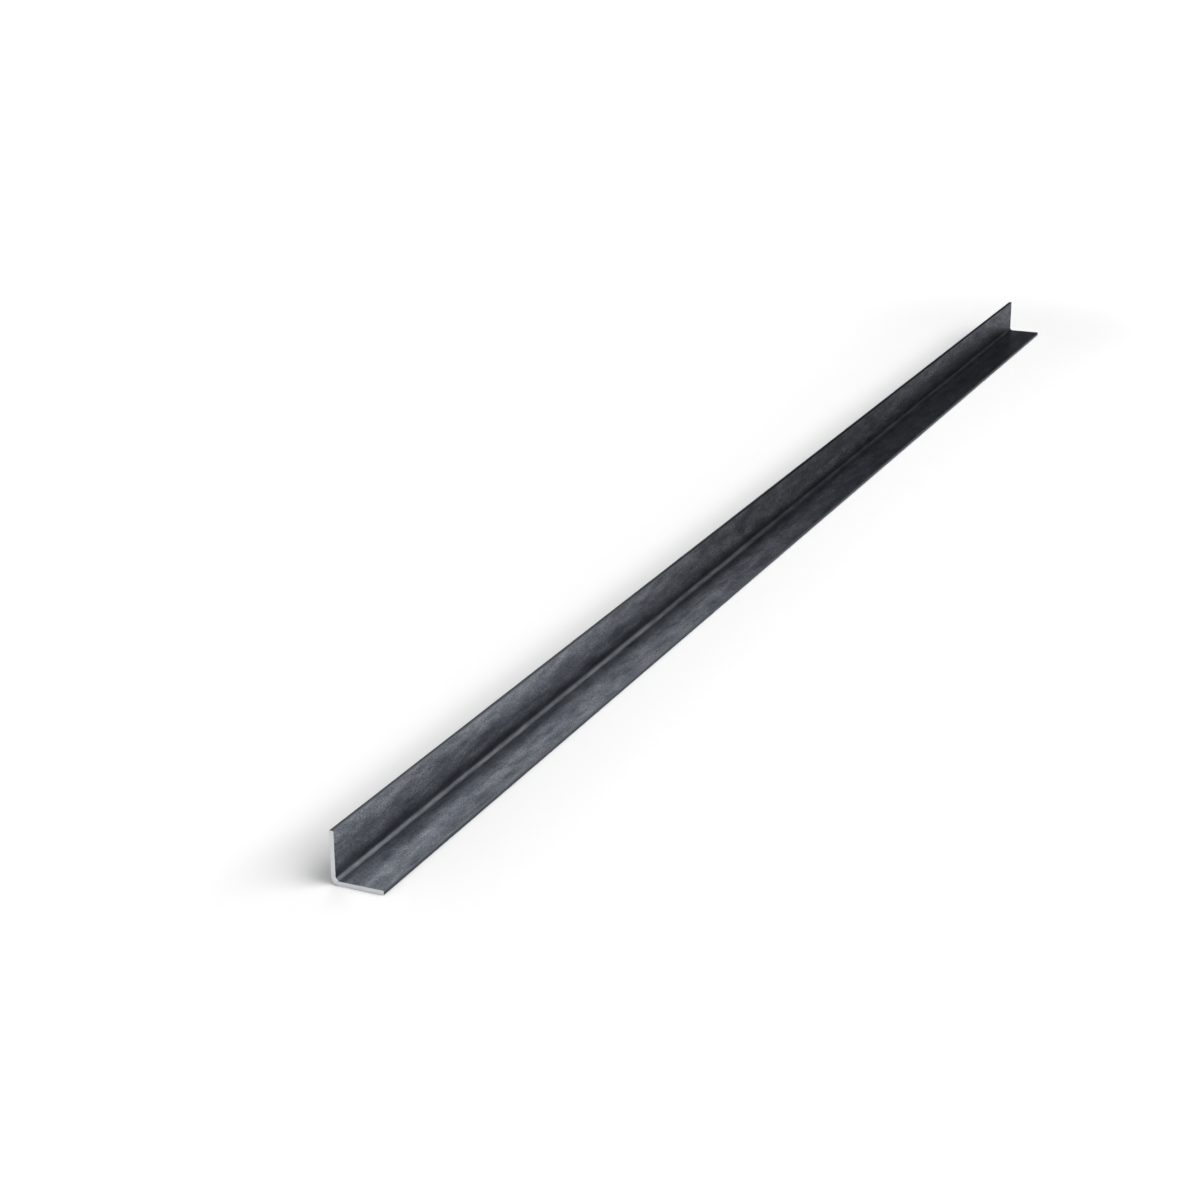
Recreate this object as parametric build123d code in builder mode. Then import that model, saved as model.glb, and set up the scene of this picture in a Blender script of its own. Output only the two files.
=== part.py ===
"""Cold-formed equal-leg steel angle, 35 x 35 x 3 mm, in a 1.5 m length.

One piece of stock, bent from slit steel strip. It lies on the outer face of one leg while the
other leg stands. X runs along the length, +Y points along the lying leg to its toe, and +Z up
the standing leg to its toe. The origin is on the face that the section lies on, under the middle
of its length and its width. All lengths are in millimetres.
"""

import os

from build123d import *

# The bent strip
leg_width = 35.0  # from the outer face of one leg to the toe of the other, alike on both
wall_thickness = 3.0  # gauge of the strip
inner_bend_radius = 3.0  # inside of the heel, bent round a tool of about the strip's gauge
toe_edge_radius = 0.3  # each corner of the slit toes, with its burr taken off

# The cut piece, sawn square at both ends
length = 1500.0
saw_edge_break = 0.15  # chamfer round each cut end, where the saw's burr is filed off

# The heel keeps the strip's gauge round the bend
outer_bend_radius = inner_bend_radius + wall_thickness

with BuildPart() as angle_section:
    # Section: the outer face is drawn as the strip is bent, then thickened towards the inside
    with BuildSketch(Plane.YZ) as section:
        with BuildLine() as outer_face:
            FilletPolyline(
                (leg_width / 2, 0),
                (-leg_width / 2, 0),
                (-leg_width / 2, leg_width),
                radius=outer_bend_radius,
            )
            offset(amount=wall_thickness, side=Side.RIGHT)
        make_face()

        lying_toe = section.vertices().group_by(Axis.X)[-1]
        standing_toe = section.vertices().group_by(Axis.Y)[-1]
        fillet(lying_toe + standing_toe, radius=toe_edge_radius)

    # Length: half to each side of the origin
    extrude(amount=length / 2, both=True)

    # Cut ends: square, with the burr filed off all round
    cut_ends = angle_section.faces().filter_by(Axis.X)
    chamfer(cut_ends.edges(), length=saw_edge_break)

angle_section.part.label = "angle_section"

os.makedirs("parts", exist_ok=True)
export_step(angle_section.part, "parts/angle_section.step")
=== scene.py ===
"""A 1.5 m length of cold-formed steel angle, 35 x 35 x 3 mm, lying on a white studio floor."""
import math

import bpy
from mathutils import Matrix, Vector


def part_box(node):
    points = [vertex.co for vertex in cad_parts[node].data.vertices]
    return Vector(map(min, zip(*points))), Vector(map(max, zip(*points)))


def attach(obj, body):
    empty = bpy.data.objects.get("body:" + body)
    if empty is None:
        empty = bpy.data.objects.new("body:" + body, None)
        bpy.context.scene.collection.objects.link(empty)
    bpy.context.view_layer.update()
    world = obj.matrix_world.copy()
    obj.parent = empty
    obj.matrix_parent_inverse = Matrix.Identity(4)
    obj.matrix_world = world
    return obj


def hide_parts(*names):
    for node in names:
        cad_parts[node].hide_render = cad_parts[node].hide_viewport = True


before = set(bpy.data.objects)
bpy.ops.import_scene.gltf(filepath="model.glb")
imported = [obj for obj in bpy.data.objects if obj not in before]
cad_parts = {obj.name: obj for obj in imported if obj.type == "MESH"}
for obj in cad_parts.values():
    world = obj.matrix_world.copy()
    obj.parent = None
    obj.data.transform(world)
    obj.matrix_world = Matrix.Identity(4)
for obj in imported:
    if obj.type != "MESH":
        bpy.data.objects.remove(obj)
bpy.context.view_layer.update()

NODE = "angle_section"
low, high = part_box(NODE)

# The section, in metres, as the solid has it
LEG_WIDTH = high.z - low.z
WALL = 0.003
INNER_BEND = 0.003
TOE_EDGE = 0.0003
END_BREAK = 0.00015
BREAK_MIDDLE = 0.3 * END_BREAK  # where the break's middle point lies, from both faces
OUTER_BEND = INNER_BEND + WALL
HEEL_Y = low.y
END_X = high.x

# How finely it is meshed
FLAT_CELLS = 12
BEND_CELLS = 24
CORNER_CELLS = 5
CORE_CELLS = 4
LENGTH_CELLS = 150
END_GUARD = 0.0004

# The bake layout: the skin in rows of equal length, one above another, and the cut ends above them
BAKE_ROWS = 3
BAKE_MARGIN = 0.004

# ------------------------------------------------------------------ section


def eased(t):
    """0 to 1 with small steps at both ends, so that the flats keep true normals beside the curves."""
    return (1 - math.cos(math.pi * t)) / 2


def wall_depths():
    """Depths from the outer face to the inner face, closer together round the two corners of the toe."""
    quarter = [math.pi / 2 * k / CORNER_CELLS for k in range(CORNER_CELLS + 1)]
    core = WALL - 2 * TOE_EDGE
    depths = [TOE_EDGE * (1 - math.cos(a)) for a in quarter]
    depths += [TOE_EDGE + core * eased(k / CORE_CELLS) for k in range(1, CORE_CELLS)]
    depths += [WALL - TOE_EDGE * (1 - math.sin(a)) for a in quarter]
    return depths


def toe_setback(depth):
    """How far the toe's rounded corners lie behind its flat at that depth."""
    into_corner = TOE_EDGE - min(depth, WALL - depth)
    if into_corner <= 0:
        return 0.0
    return TOE_EDGE - math.sqrt(max(0.0, TOE_EDGE ** 2 - into_corner ** 2))


def lying_point(step, depth, inset):
    """(y, z) on the lying half of the strip, from the middle of the bend at step 0 to the toe at step 1."""
    bend_steps = BEND_CELLS / 2 / (BEND_CELLS / 2 + FLAT_CELLS)
    shrunk = inset + depth * (WALL - 2 * inset) / WALL
    if step <= bend_steps:
        turn = math.pi * (1.25 + 0.25 * step / bend_steps)
        radius = OUTER_BEND - shrunk
        return OUTER_BEND + radius * math.cos(turn), OUTER_BEND + radius * math.sin(turn)
    along = eased((step - bend_steps) / (1 - bend_steps))
    reach = LEG_WIDTH - toe_setback(depth) - inset - OUTER_BEND
    return OUTER_BEND + reach * along, shrunk


def section_grid(inset):
    """Rows of (y, z) from the lying toe round the bend to the standing toe, each from outside to inside."""
    half = BEND_CELLS // 2 + FLAT_CELLS
    grid = []
    for j in range(-half, half + 1):
        row = [lying_point(abs(j) / half, depth, inset) for depth in wall_depths()]
        grid.append(row if j <= 0 else [(z, y) for y, z in row])
    return grid


full = section_grid(0.0)
capped = section_grid(END_BREAK)
last_row, last_depth = len(full) - 1, len(full[0]) - 1

# The section's rim as (row, depth) pairs: outer face, standing toe, inner face, lying toe
rim = [(j, 0) for j in range(last_row)]
rim += [(last_row, i) for i in range(last_depth)]
rim += [(j, last_depth) for j in range(last_row, 0, -1)]
rim += [(0, i) for i in range(last_depth, 0, -1)]
around = len(rim)

# Stations along the length as (x, inset): each end has a small rounded break, then a guard ring
end_rings = [(0.0, END_BREAK), (BREAK_MIDDLE, BREAK_MIDDLE), (END_BREAK, 0.0), (END_GUARD, 0.0)]
inner_span = 2 * (END_X - END_GUARD)
stations = [(-END_X + back, inset) for back, inset in end_rings]
stations += [(-END_X + END_GUARD + inner_span * k / LENGTH_CELLS, 0.0) for k in range(1, LENGTH_CELLS)]
stations += [(END_X - back, inset) for back, inset in reversed(end_rings)]
last_station = len(stations) - 1
BREAK_RINGS = 2

SCALE_SKIN, SLIT_TOE, SAWN_END = 0, 1, 2
toe_strips = set(range(last_row, last_row + last_depth))
toe_strips |= set(range(2 * last_row + last_depth, around))

verts, faces, finish = [], [], []
for x, inset in stations:
    grid = section_grid(inset) if inset else full
    verts += [(x, HEEL_Y + grid[j][i][0], low.z + grid[j][i][1]) for j, i in rim]
for s in range(last_station):
    for k in range(around):
        a, b = s * around + k, s * around + (k + 1) % around
        faces.append((a, b, b + around, a + around))
        broken = s < BREAK_RINGS or s >= last_station - BREAK_RINGS
        finish.append(SAWN_END if broken else SLIT_TOE if k in toe_strips else SCALE_SKIN)
skin_faces, skin_verts = len(faces), len(verts)

on_rim = {place: k for k, place in enumerate(rim)}
for end, first in ((-1, 0), (1, last_station * around)):
    index = {}
    for j, row in enumerate(capped):
        for i, (y, z) in enumerate(row):
            if (j, i) in on_rim:
                index[j, i] = first + on_rim[j, i]
            else:
                index[j, i] = len(verts)
                verts.append((end * END_X, HEEL_Y + y, low.z + z))
    for j in range(last_row):
        for i in range(last_depth):
            quad = [index[j, i], index[j + 1, i], index[j + 1, i + 1], index[j, i + 1]]
            faces.append(quad[::-end])  # so that both ends face outward
            finish.append(SAWN_END)

mesh = bpy.data.meshes.new("steel_angle")
mesh.from_pydata(verts, [], faces)
angle = bpy.data.objects.new("steel_angle", mesh)
bpy.context.scene.collection.objects.link(angle)

# The cut ends meet the skin at a crisp line, and the rounded corners of the toes stay smooth
crisp_rings = {0, BREAK_RINGS, last_station - BREAK_RINGS, last_station}
for edge in mesh.edges:
    a, b = edge.vertices
    if a < skin_verts and b < skin_verts and a // around == b // around and a // around in crisp_rings:
        edge.use_edge_sharp = True

# ------------------------------------------------------------------ bake layout

girth = [0.0]
for k in range(around):
    (j0, i0), (j1, i1) = rim[k], rim[(k + 1) % around]
    (y0, z0), (y1, z1) = full[j0][i0], full[j1][i1]
    girth.append(girth[-1] + math.hypot(y1 - y0, z1 - z0))
row_length = 2 * END_X / BAKE_ROWS
skin_scale = (1 - 2 * BAKE_MARGIN) / row_length
row_height = girth[-1] * skin_scale + BAKE_MARGIN
cap_bottom = BAKE_ROWS * row_height + BAKE_MARGIN
cap_size = 1 - cap_bottom - BAKE_MARGIN
cap_faces = (len(faces) - skin_faces) // 2

layout = mesh.uv_layers.new(name="OFBake")
for polygon in mesh.polygons:
    n = polygon.index
    if n < skin_faces:
        s, k = divmod(n, around)
        middle = (stations[s][0] + stations[s + 1][0]) / 2
        row = min(BAKE_ROWS - 1, int((middle + END_X) / row_length))
        corners = ((s, k), (s, k + 1), (s + 1, k + 1), (s + 1, k))
        for loop, (station, turn) in zip(polygon.loop_indices, corners):
            u = BAKE_MARGIN + (stations[station][0] + END_X - row * row_length) * skin_scale
            v = BAKE_MARGIN + row * row_height + girth[turn] * skin_scale
            layout.data[loop].uv = (u, v)
    else:
        shift = BAKE_MARGIN + (n - skin_faces) // cap_faces * (cap_size + BAKE_MARGIN)
        for loop, corner in zip(polygon.loop_indices, polygon.vertices):
            x, y, z = verts[corner]
            u = shift + (y - HEEL_Y) / LEG_WIDTH * cap_size
            v = cap_bottom + (z - low.z) / LEG_WIDTH * cap_size
            layout.data[loop].uv = (u, v)

# ------------------------------------------------------------------ materials

# The noise is turned against the faces, which would otherwise cut its lattice flat and show rings
LATTICE_AXIS, LATTICE_TURN = (0.45, 0.62, 0.64), 0.85
# Most of a noise's values lie between the first two, and those of a fine noise between the second two
NOISE_LOW, NOISE_HIGH = 0.3, 0.7
FINE_LOW, FINE_HIGH = 0.25, 0.75

# The tint of what the steel reflects at a grazing angle
GRAZING_TINT = (0.59, 0.605, 0.64)


class Shader:
    """Short ways to add the nodes that the finishes are made of, in a material or a world."""

    def __init__(self, owner):
        self.owner = owner
        owner.use_nodes = True
        self.nodes = owner.node_tree.nodes
        self.links = owner.node_tree.links

    def node(self, kind, inputs=(), **settings):
        """A node with its settings, and its inputs as (socket, number or link) pairs."""
        node = self.nodes.new("ShaderNode" + kind)
        for name, value in settings.items():
            setattr(node, name, value)
        for socket, value in inputs:
            self.fill(node.inputs[socket], value)
        return node

    def fill(self, socket, value):
        """Puts a number or a link into a socket."""
        if isinstance(value, bpy.types.NodeSocket):
            self.links.new(value, socket)
        else:
            socket.default_value = value

    def set(self, socket, value):
        """A socket of the shader that the material comes with."""
        self.fill(self.nodes["Principled BSDF"].inputs[socket], value)

    def place(self):
        return self.node("TexCoord").outputs["Object"]

    def place_in_section(self):
        """Distances back from the +X end, out from the standing leg's outer face, and up from the base."""
        spot = self.node("SeparateXYZ", [("Vector", self.place())]).outputs
        back = self.math("SUBTRACT", END_X, spot["X"])
        return back, self.math("SUBTRACT", spot["Y"], HEEL_Y), self.math("SUBTRACT", spot["Z"], low.z)

    def noise(self, size, detail=2.0, roughness=0.5, offset=(0, 0, 0)):
        """Cloudy noise whose grains are about `size` metres in x, y and z."""
        scale = [1 / s for s in size]
        inputs = [("Vector", self.place()), ("Scale", scale), ("Location", offset)]
        spot = self.node("Mapping", inputs).outputs[0]
        inputs = [("Vector", spot), ("Axis", LATTICE_AXIS), ("Angle", LATTICE_TURN)]
        spot = self.node("VectorRotate", inputs).outputs[0]
        inputs = [("Vector", spot), ("Scale", 1.0), ("Detail", detail), ("Roughness", roughness)]
        return self.node("TexNoise", inputs).outputs["Fac"]

    def span(self, value, low, high, to_low=0.0, to_high=1.0, smooth=False):
        """Value taken from low..high to to_low..to_high, and level beyond them."""
        inputs = [("Value", value), ("From Min", low), ("From Max", high)]
        inputs += [("To Min", to_low), ("To Max", to_high)]
        kind = "SMOOTHSTEP" if smooth else "LINEAR"
        return self.node("MapRange", inputs, interpolation_type=kind).outputs["Result"]

    def math(self, operation, a, b):
        return self.node("Math", [(0, a), (1, b)], operation=operation).outputs[0]

    def product(self, first, *others):
        for other in others:
            first = self.math("MULTIPLY", first, other)
        return first

    def total(self, first, *others):
        for other in others:
            first = self.math("ADD", first, other)
        return first

    def vector(self, operation, a, b=(0.0, 0.0, 0.0), output="Vector"):
        return self.node("VectorMath", [(0, a), (1, b)], operation=operation).outputs[output]

    def scaled(self, colour, factor):
        return self.node("VectorMath", [("Vector", colour), ("Scale", factor)], operation="SCALE").outputs[0]

    def ramp(self, value, stops):
        """A colour ramp of (position, colour) stops."""
        node = self.node("ValToRGB", [("Fac", value)])
        elements = node.color_ramp.elements
        while len(elements) < len(stops):
            elements.new(0.5)
        for element, (position, colour) in zip(elements, stops):
            element.position = position
            element.color = (*colour, 1)
        return node.outputs["Color"]

    def curve(self, value, stops):
        """A number that runs straight between (value, result) stops, and stays level beyond them."""
        first, last = stops[0][0], stops[-1][0]
        most = max(result for _, result in stops)
        greys = [((place - first) / (last - first), (result / most,) * 3) for place, result in stops]
        return self.product(self.ramp(self.span(value, first, last), greys), most)

    def blend(self, share, a, b):
        """Number a at share 0 and b at share 1."""
        return self.node("Mix", [("Factor", share), ("A", a), ("B", b)]).outputs["Result"]

    def mixed(self, share, a, b):
        """Colour a at share 0 and b at share 1. The node's colour sockets go by number."""
        return self.node("Mix", [(0, share), (6, a), (7, b)], data_type="RGBA").outputs[2]

    def bump(self, height, distance):
        inputs = [("Height", height), ("Distance", distance), ("Strength", 1.0)]
        return self.node("Bump", inputs).outputs["Normal"]

    def seen(self):
        """1 for what the camera sees, and for what metal and glass show of it."""
        rays = self.node("LightPath").outputs
        seen = self.math("MAXIMUM", rays["Is Camera Ray"], rays["Is Glossy Ray"])
        return self.math("MAXIMUM", seen, rays["Is Transmission Ray"])


# Mill scale, from the dark of its clouds to the light
SCALE_COLOURS = [
    (0.33, (0.0640, 0.0695, 0.0810)),
    (0.50, (0.1105, 0.1175, 0.1305)),
    (0.67, (0.1540, 0.1650, 0.1780)),
]
# Its roughness in the dark and in the light clouds, and how far the grain moves it to either side
SCALE_ROUGHNESS = (0.42, 0.38)
GRAIN_ROUGHNESS = 0.02
# The depth of its relief, and how far streaks and grain take it to either side
SCALE_RELIEF = 0.00002
STREAK_RELIEF, GRAIN_RELIEF = 0.15, 0.35

# How far the wide patches and the rolling streaks move its tone
PATCH_CHANGE, STREAK_CHANGE = 0.08, 0.10
# The inside of the bend is rolled smoother: this share of the grain and relief is left within the first
# distance of its middle, and all of it beyond the second
CALM_SHARE, CALM_WITHIN, CALM_BEYOND = 0.25, 0.002, 0.006
# Towards the -X end the scale of the inner faces is more finely broken, and its hue is another on each
# leg. These are distances from the +X end
BROKEN_FROM, BROKEN_TO = 0.45, 1.05
HUE_FROM, HUE_TO = 0.45, 0.80
LYING_HUE, STANDING_HUE = (1.00, 0.983, 1.05), (1.03, 0.99, 0.985)

# The tone changes slowly too, as (distance from the +X end, tone), and this is painted light and shade on
# the inner faces: lighter towards the +X end and darker along the far part where the light falls off,
# darker in the corner just above the bend, and the highlight along the bend painted stronger towards the +X
# end. These were set against the photo's brightness. The lying toe comes first, and then the bands that
# follow one another round the bend to the standing toe. A band is (where it begins, where it is full,
# tones), placed by height less distance out from the standing leg's outer face. The outer faces have one tone
LYING_TOE_PAINTED_SHADING = [
    (0.13, 1.25), (0.25, 1.62), (0.36, 1.95), (0.46, 1.80), (0.56, 1.50), (0.75, 0.76), (0.90, 0.57),
    (1.05, 0.53), (1.28, 0.53), (1.42, 0.40),
]
PAINTED_SHADING_BANDS = [
    (-0.026, -0.018, [
        (0.07, 1.90), (0.25, 2.28), (0.55, 1.93), (0.75, 1.13), (1.00, 0.72), (1.18, 0.52), (1.32, 0.50),
        (1.42, 0.40),
    ]),
    (-0.013, -0.007, [
        (0.02, 2.40), (0.08, 1.92), (0.36, 1.84), (0.46, 1.36), (0.65, 0.90), (0.80, 1.03), (1.35, 0.90),
    ]),
    (-0.004, -0.001, [
        (0.30, 1.58), (0.45, 1.84), (0.57, 1.48), (0.70, 0.82), (0.88, 0.53), (1.10, 0.54), (1.30, 0.46),
    ]),
    (-0.0010, 0.0025, [
        (0.42, 0.58), (0.57, 0.62), (0.70, 0.58), (0.88, 0.41), (1.10, 0.53), (1.30, 0.35), (1.42, 0.50),
    ]),
    (0.005, 0.010, [
        (0.38, 1.41), (0.50, 1.26), (0.60, 1.22), (0.70, 1.18), (0.88, 1.06), (1.05, 0.70), (1.17, 0.63),
        (1.30, 0.45), (1.42, 0.66),
    ]),
    (0.013, 0.025, [
        (0.28, 2.00), (0.45, 1.52), (0.60, 0.83), (0.70, 0.56), (0.90, 0.40), (1.05, 0.58), (1.30, 0.78),
    ]),
]
OUTSIDE_TONE = 1.15
# All that changes along the length wanders this far to and fro
TONE_DRIFT = 0.08
# How strongly grain and pits change the tone, in sound scale and where it is broken
GRAIN_CHANGE, PIT_CHANGE = (0.55, 1.35), (0.08, 0.45)
# A pit is dark where its noise is low, and its rim bright where that is high
PIT_LOW, PIT_HIGH = 0.40, 0.62
PIT_DARK, RIM_BRIGHT = -0.9, 1.3
# How strong its pits are on the lying leg, as a share of those on the standing leg
LYING_PITS = 0.60
DARKEST_SPECK = 0.05


def painted_shading_tone(skin, back, up_leg, inside):
    """Painted light and shade: the tone's slow changes along the length and across the section."""
    tone = skin.curve(back, LYING_TOE_PAINTED_SHADING)
    for begins, full_at, stops in PAINTED_SHADING_BANDS:
        tone = skin.blend(skin.span(up_leg, begins, full_at), tone, skin.curve(back, stops))
    return skin.blend(inside, OUTSIDE_TONE, tone)


def speckle(skin, grain, broken, standing, calm):
    """Grain and pits as a factor on the tone, stronger where the scale is broken."""
    pits = skin.noise((0.0044, 0.0018, 0.0018), detail=1.0, roughness=0.8)
    pitting = skin.product(
        skin.span(pits, PIT_LOW, PIT_HIGH, PIT_DARK, RIM_BRIGHT),
        skin.span(broken, 0.0, 1.0, *PIT_CHANGE),
        skin.span(standing, 0.0, 1.0, LYING_PITS, 1.0),
        calm,
    )
    specks = skin.span(grain, FINE_LOW, FINE_HIGH, -1.0, 1.0)
    specks = skin.product(specks, skin.span(broken, 0.0, 1.0, *GRAIN_CHANGE), calm)
    return skin.math("MAXIMUM", skin.total(specks, pitting, 1.0), DARKEST_SPECK)


def mill_scale():
    """Blue-grey clouds drawn out along the length, rolling streaks, grain, and painted light and shade in its
    tone.
    """
    skin = Shader(bpy.data.materials.new("mill_scale_steel"))
    clouds = skin.noise((0.029, 0.0066, 0.0066), detail=5.0, roughness=0.57)
    patches = skin.noise((0.16, 0.022, 0.022), detail=1.0, offset=(3.1, 0, 0))
    streaks = skin.noise((0.028, 0.0009, 0.0009), detail=2.0, roughness=0.6)
    grain = skin.noise((0.0015, 0.0007, 0.0007), detail=1.0, roughness=0.8)
    drift = skin.noise((0.09, 0.02, 0.02), detail=1.0, offset=(0, 5.3, 0))

    back, out, up = skin.place_in_section()
    back = skin.total(back, skin.span(drift, 0.0, 1.0, -TONE_DRIFT, TONE_DRIFT))
    up_leg = skin.math("SUBTRACT", up, out)
    inside = skin.span(skin.math("MINIMUM", out, up), WALL / 3, WALL * 2 / 3)
    standing = skin.span(up_leg, -INNER_BEND, INNER_BEND)
    calm = skin.span(skin.math("ABSOLUTE", up_leg, 0.0), CALM_WITHIN, CALM_BEYOND, CALM_SHARE, 1.0)
    broken = skin.product(skin.span(back, BROKEN_FROM, BROKEN_TO), inside)
    # The tone is the painted light and shade, times the random patches, streaks and speckle
    tone = skin.product(
        painted_shading_tone(skin, back, up_leg, inside),
        skin.span(patches, NOISE_LOW, NOISE_HIGH, 1 - PATCH_CHANGE, 1 + PATCH_CHANGE),
        skin.span(streaks, FINE_LOW, FINE_HIGH, 1 - STREAK_CHANGE, 1 + STREAK_CHANGE),
        speckle(skin, grain, broken, standing, calm),
    )

    colour = skin.scaled(skin.ramp(clouds, SCALE_COLOURS), tone)
    far_hue = skin.ramp(standing, [(0.0, LYING_HUE), (1.0, STANDING_HUE)])
    hue = skin.mixed(skin.span(back, HUE_FROM, HUE_TO), (1, 1, 1, 1), far_hue)
    skin.set("Base Color", skin.vector("MULTIPLY", colour, hue))
    skin.set("Metallic", 1.0)
    skin.set("Specular Tint", (*GRAZING_TINT, 1))
    skin.set("Roughness", skin.total(
        skin.span(clouds, NOISE_LOW, NOISE_HIGH, *SCALE_ROUGHNESS),
        skin.span(grain, NOISE_LOW, NOISE_HIGH, -GRAIN_ROUGHNESS, GRAIN_ROUGHNESS),
    ))
    relief = skin.total(
        skin.span(streaks, 0.0, 1.0, -STREAK_RELIEF, STREAK_RELIEF),
        skin.span(grain, 0.0, 1.0, -GRAIN_RELIEF, GRAIN_RELIEF),
    )
    skin.set("Normal", skin.bump(skin.product(relief, calm), SCALE_RELIEF))
    return skin.owner


# Slit toe edges, as (share of the wall from its outer face, colour), at the +X end and at the -X end.
# The dark line along their outer side is painted shade, and the other pattern at the -X end is painted
# light and shade as well
NEAR_EDGE_SHADED_COLOURS = [
    (0.00, (0.018, 0.019, 0.021)),
    (0.10, (0.050, 0.054, 0.061)),
    (0.35, (0.078, 0.084, 0.095)),
    (0.62, (0.100, 0.108, 0.122)),
    (0.90, (0.138, 0.149, 0.168)),
]
FAR_EDGE_SHADED_COLOURS = [
    (0.00, (0.030, 0.032, 0.036)),
    (0.10, (0.098, 0.104, 0.114)),
    (0.38, (0.120, 0.127, 0.140)),
    (0.70, (0.062, 0.066, 0.073)),
    (0.95, (0.040, 0.043, 0.048)),
]
# What they reflect at a grazing angle, by the same share of the wall. It is kept low at the outer side,
# as part of the painted shade there
EDGE_TINT = [(0.04, (0.15, 0.155, 0.16)), (0.16, GRAZING_TINT)]
# The first colours change into the second between these distances from the +X end
NEAR_EDGE_TO, FAR_EDGE_FROM = 0.42, 0.75
# Painted light and shade on them, by distance from the +X end: the lying toe lighter and the standing toe
# darker towards the -X end
LYING_EDGE_PAINTED_SHADING = [(0.70, 1.0), (1.10, 1.3)]
STANDING_EDGE_PAINTED_SHADING = [(0.35, 1.0), (0.55, 0.62), (0.80, 0.28), (1.20, 0.22)]
# How far the edge of the painted dark line wanders in the wall, and how deep the tear marks are
DARK_LINE_WANDER, TEAR_RELIEF = 0.00015, 0.00002
EDGE_ROUGHNESS = (0.38, 0.46)


def slit_edge():
    """Duller than the scale, with painted shade as a dark line along its outer side."""
    toe = Shader(bpy.data.materials.new("slit_edge_steel"))
    back, out, up = toe.place_in_section()
    torn = toe.noise((0.004, 0.0006, 0.0006))
    # The painted dark line of shade along the outer side wanders with the tear marks
    wander = toe.span(torn, NOISE_LOW, NOISE_HIGH, -DARK_LINE_WANDER, DARK_LINE_WANDER)
    in_edge = toe.span(toe.total(toe.math("MINIMUM", out, up), wander), 0.0, WALL)
    standing = toe.span(up, WALL, LEG_WIDTH - WALL)
    # Painted light and shade along the length
    tone = toe.blend(standing, toe.curve(back, LYING_EDGE_PAINTED_SHADING), toe.curve(back, STANDING_EDGE_PAINTED_SHADING))
    far = toe.span(back, NEAR_EDGE_TO, FAR_EDGE_FROM)
    colour = toe.mixed(far, toe.ramp(in_edge, NEAR_EDGE_SHADED_COLOURS), toe.ramp(in_edge, FAR_EDGE_SHADED_COLOURS))
    toe.set("Base Color", toe.scaled(colour, tone))
    toe.set("Metallic", 1.0)
    toe.set("Specular Tint", toe.ramp(in_edge, EDGE_TINT))
    toe.set("Roughness", toe.span(torn, NOISE_LOW, NOISE_HIGH, *EDGE_ROUGHNESS))
    toe.set("Normal", toe.bump(torn, TEAR_RELIEF))
    return toe.owner


# Sawn ends: the saw ran at this angle, and left fine lines this long and this far apart
SAW_ANGLE = math.radians(24)
SAW_LINE, SAW_PITCH, SAW_RELIEF = 0.012, 0.00022, 0.00001
SAWN_COLOURS = [(NOISE_LOW, (0.57, 0.58, 0.595)), (NOISE_HIGH, (0.65, 0.66, 0.675))]
SAWN_ROUGHNESS = (0.5, 0.42)


def sawn_end():
    """Bright and almost matt, with the fine lines of the saw across it."""
    cut = Shader(bpy.data.materials.new("sawn_steel"))
    turned = cut.node("Mapping", [("Vector", cut.place()), ("Rotation", (SAW_ANGLE, 0, 0))]).outputs[0]
    scale = (1.0, 1 / SAW_LINE, 1 / SAW_PITCH)
    lines_at = cut.node("Mapping", [("Vector", turned), ("Scale", scale)]).outputs[0]
    saw = cut.node("TexNoise", [("Vector", lines_at), ("Scale", 1.0), ("Detail", 2.0)]).outputs["Fac"]
    cut.set("Base Color", cut.ramp(saw, SAWN_COLOURS))
    cut.set("Metallic", 1.0)
    cut.set("Roughness", cut.span(saw, NOISE_LOW, NOISE_HIGH, *SAWN_ROUGHNESS))
    cut.set("Normal", cut.bump(saw, SAW_RELIEF))
    return cut.owner


for material in (mill_scale(), slit_edge(), sawn_end()):
    mesh.materials.append(material)
for polygon in mesh.polygons:
    polygon.material_index = finish[polygon.index]
    polygon.use_smooth = polygon.index < skin_faces

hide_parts(NODE)
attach(angle, "root")

# ------------------------------------------------------------------ floor and backdrop

FLOOR_SIZE = 1000  # it reaches the horizon
FLOOR_CENTRE = (-3, -2, 0)
PAPER_GREY = 0.8
# Away from the piece, what is seen of the paper reaches plain white. Each lift is (from, to, strength) by
# distance
NEAR_LIFT = (0.05, 0.30, 0.15)
FAR_LIFT = (0.25, 1.60, 0.88)

bpy.ops.mesh.primitive_plane_add(size=FLOOR_SIZE, location=FLOOR_CENTRE)
floor = bpy.context.object
floor.name = "studio_floor"


def lifted(paper, away, lift, smooth=False):
    """The light that one lift adds at that distance."""
    begins, ends, strength = lift
    return paper.span(away, begins, ends, 0.0, strength, smooth)


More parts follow.
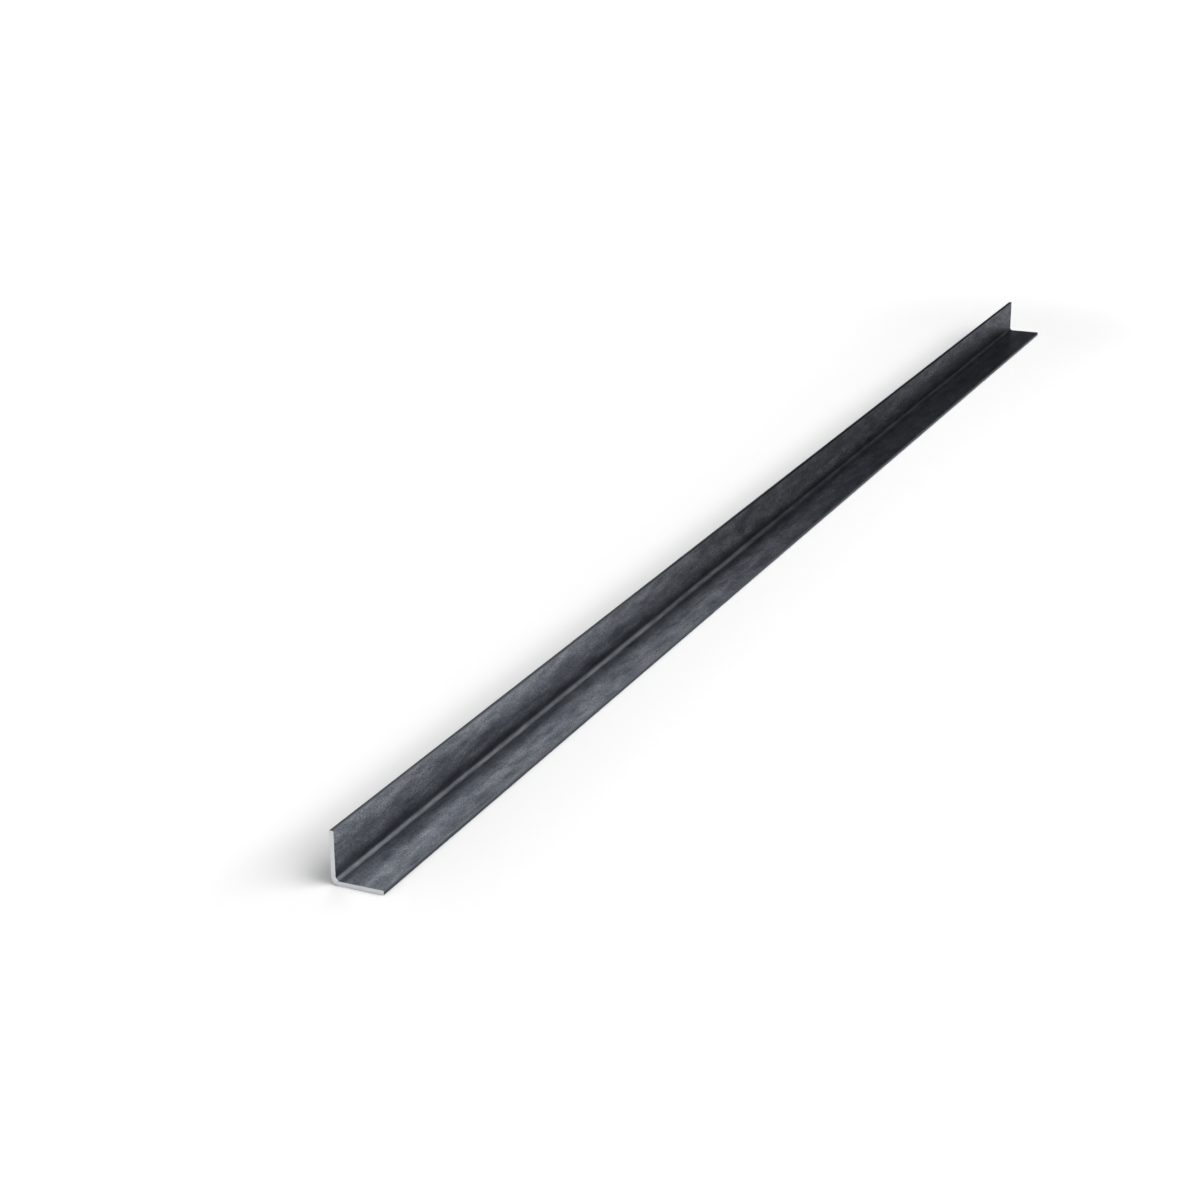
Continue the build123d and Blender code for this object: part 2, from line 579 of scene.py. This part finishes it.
def white_paper():
    """Matt paper that keeps the shadow. Away from the piece it is seen as plain white."""
    paper = Shader(bpy.data.materials.new("white_paper"))
    paper.nodes.remove(paper.nodes["Principled BSDF"])
    matte = paper.node("BsdfDiffuse", [("Color", (PAPER_GREY, PAPER_GREY, PAPER_GREY, 1))]).outputs[0]
    beyond = paper.vector("ABSOLUTE", paper.node("NewGeometry").outputs["Position"])
    beyond = paper.vector("SUBTRACT", beyond, (END_X, 0.0, 0.0))
    beyond = paper.vector("MAXIMUM", beyond)
    away = paper.vector("LENGTH", beyond, output="Value")
    lift = paper.total(lifted(paper, away, NEAR_LIFT, smooth=True), lifted(paper, away, FAR_LIFT))
    glow = paper.node("Emission", [("Strength", paper.product(lift, paper.seen()))]).outputs[0]
    lit = paper.node("AddShader", [(0, matte), (1, glow)]).outputs[0]
    paper.links.new(lit, paper.nodes["Material Output"].inputs["Surface"])
    return paper.owner


floor.data.materials.append(white_paper())

# The studio is dim. What is seen of it runs on from the white floor, and falls off to the dim level with
# height
DIM = 0.06
BACKDROP_TOP = 0.24  # as the sine of the angle above the horizon

studio = Shader(bpy.data.worlds.new("studio"))
bpy.context.scene.world = studio.owner
upward = studio.node("SeparateXYZ", [("Vector", studio.node("TexCoord").outputs["Generated"])]).outputs["Z"]
backdrop = studio.span(upward, 0.0, BACKDROP_TOP, 1.0 - DIM, 0.0, smooth=True)
background = studio.nodes["Background"].inputs
studio.fill(background["Color"], (1, 1, 1, 1))
studio.fill(background["Strength"], studio.total(studio.product(backdrop, studio.seen()), DIM))

# ------------------------------------------------------------------ lights


def softbox(name, azimuth, elevation, distance, aim, width, height, radiance):
    """A rectangular softbox that faces (aim, 0, 0). Azimuth is in degrees from +X towards +Y."""
    a, e = math.radians(azimuth), math.radians(elevation)
    back = Vector((math.cos(a) * math.cos(e), math.sin(a) * math.cos(e), math.sin(e)))
    side = Vector((-math.sin(a), math.cos(a), 0))
    lamp = bpy.data.lights.new(name, "AREA")
    lamp.shape = "RECTANGLE"
    lamp.size, lamp.size_y = width, height
    lamp.energy = radiance * math.pi * width * height
    box = bpy.data.objects.new(name, lamp)
    bpy.context.scene.collection.objects.link(box)
    turn = Matrix((side, back.cross(side), back)).transposed()
    box.matrix_world = Matrix.Translation(Vector((aim, 0, 0)) + back * distance) @ turn.to_4x4()
    box.visible_camera = False


# Soft lamps all round, in round numbers from a fit to how bright the photo's metal and floor are
softbox(
    "overhead_softbox", azimuth=71, elevation=52, distance=2.93, aim=-0.44,
    width=2.44, height=1.64, radiance=4.6,
)
softbox(
    "back_softbox", azimuth=209, elevation=48, distance=2.95, aim=0.76,
    width=1.15, height=0.77, radiance=5.0,
)
softbox(
    "far_side_softbox", azimuth=102, elevation=31, distance=3.30, aim=-0.66,
    width=2.58, height=0.66, radiance=6.5,
)
softbox(
    "front_softbox", azimuth=314, elevation=19, distance=1.19, aim=0.15,
    width=1.70, height=0.40, radiance=2.3,
)
softbox(
    "end_softbox", azimuth=182, elevation=55, distance=2.34, aim=0.10,
    width=2.60, height=1.68, radiance=0.9,
)
softbox(
    "near_side_softbox", azimuth=67, elevation=31, distance=2.60, aim=0.44,
    width=2.56, height=0.61, radiance=6.5,
)

# ------------------------------------------------------------------ camera

# Where the photo was taken from, as a pinhole camera fitted to the piece's edges. Azimuth 0 looks along +Y,
# and the angles are in degrees
EYE = Vector((1.80125, 0.63733, 0.62256))
AZIMUTH, ELEVATION, ROLL = 114.561, 19.973, -0.436
LENS, SENSOR = 70.0, 36.0

lens = bpy.data.cameras.new("camera")
lens.lens = LENS
lens.sensor_width = SENSOR
camera = bpy.data.objects.new("camera", lens)
bpy.context.scene.collection.objects.link(camera)
a, e = math.radians(AZIMUTH), math.radians(ELEVATION)
outward = Vector((math.sin(a) * math.cos(e), -math.cos(a) * math.cos(e), math.sin(e)))
aim = (-outward).to_track_quat("-Z", "Y").to_matrix() @ Matrix.Rotation(math.radians(ROLL), 3, "Z")
camera.matrix_world = Matrix.Translation(EYE) @ aim.to_4x4()
bpy.context.scene.camera = camera

bpy.context.scene.view_settings.view_transform = "Standard"
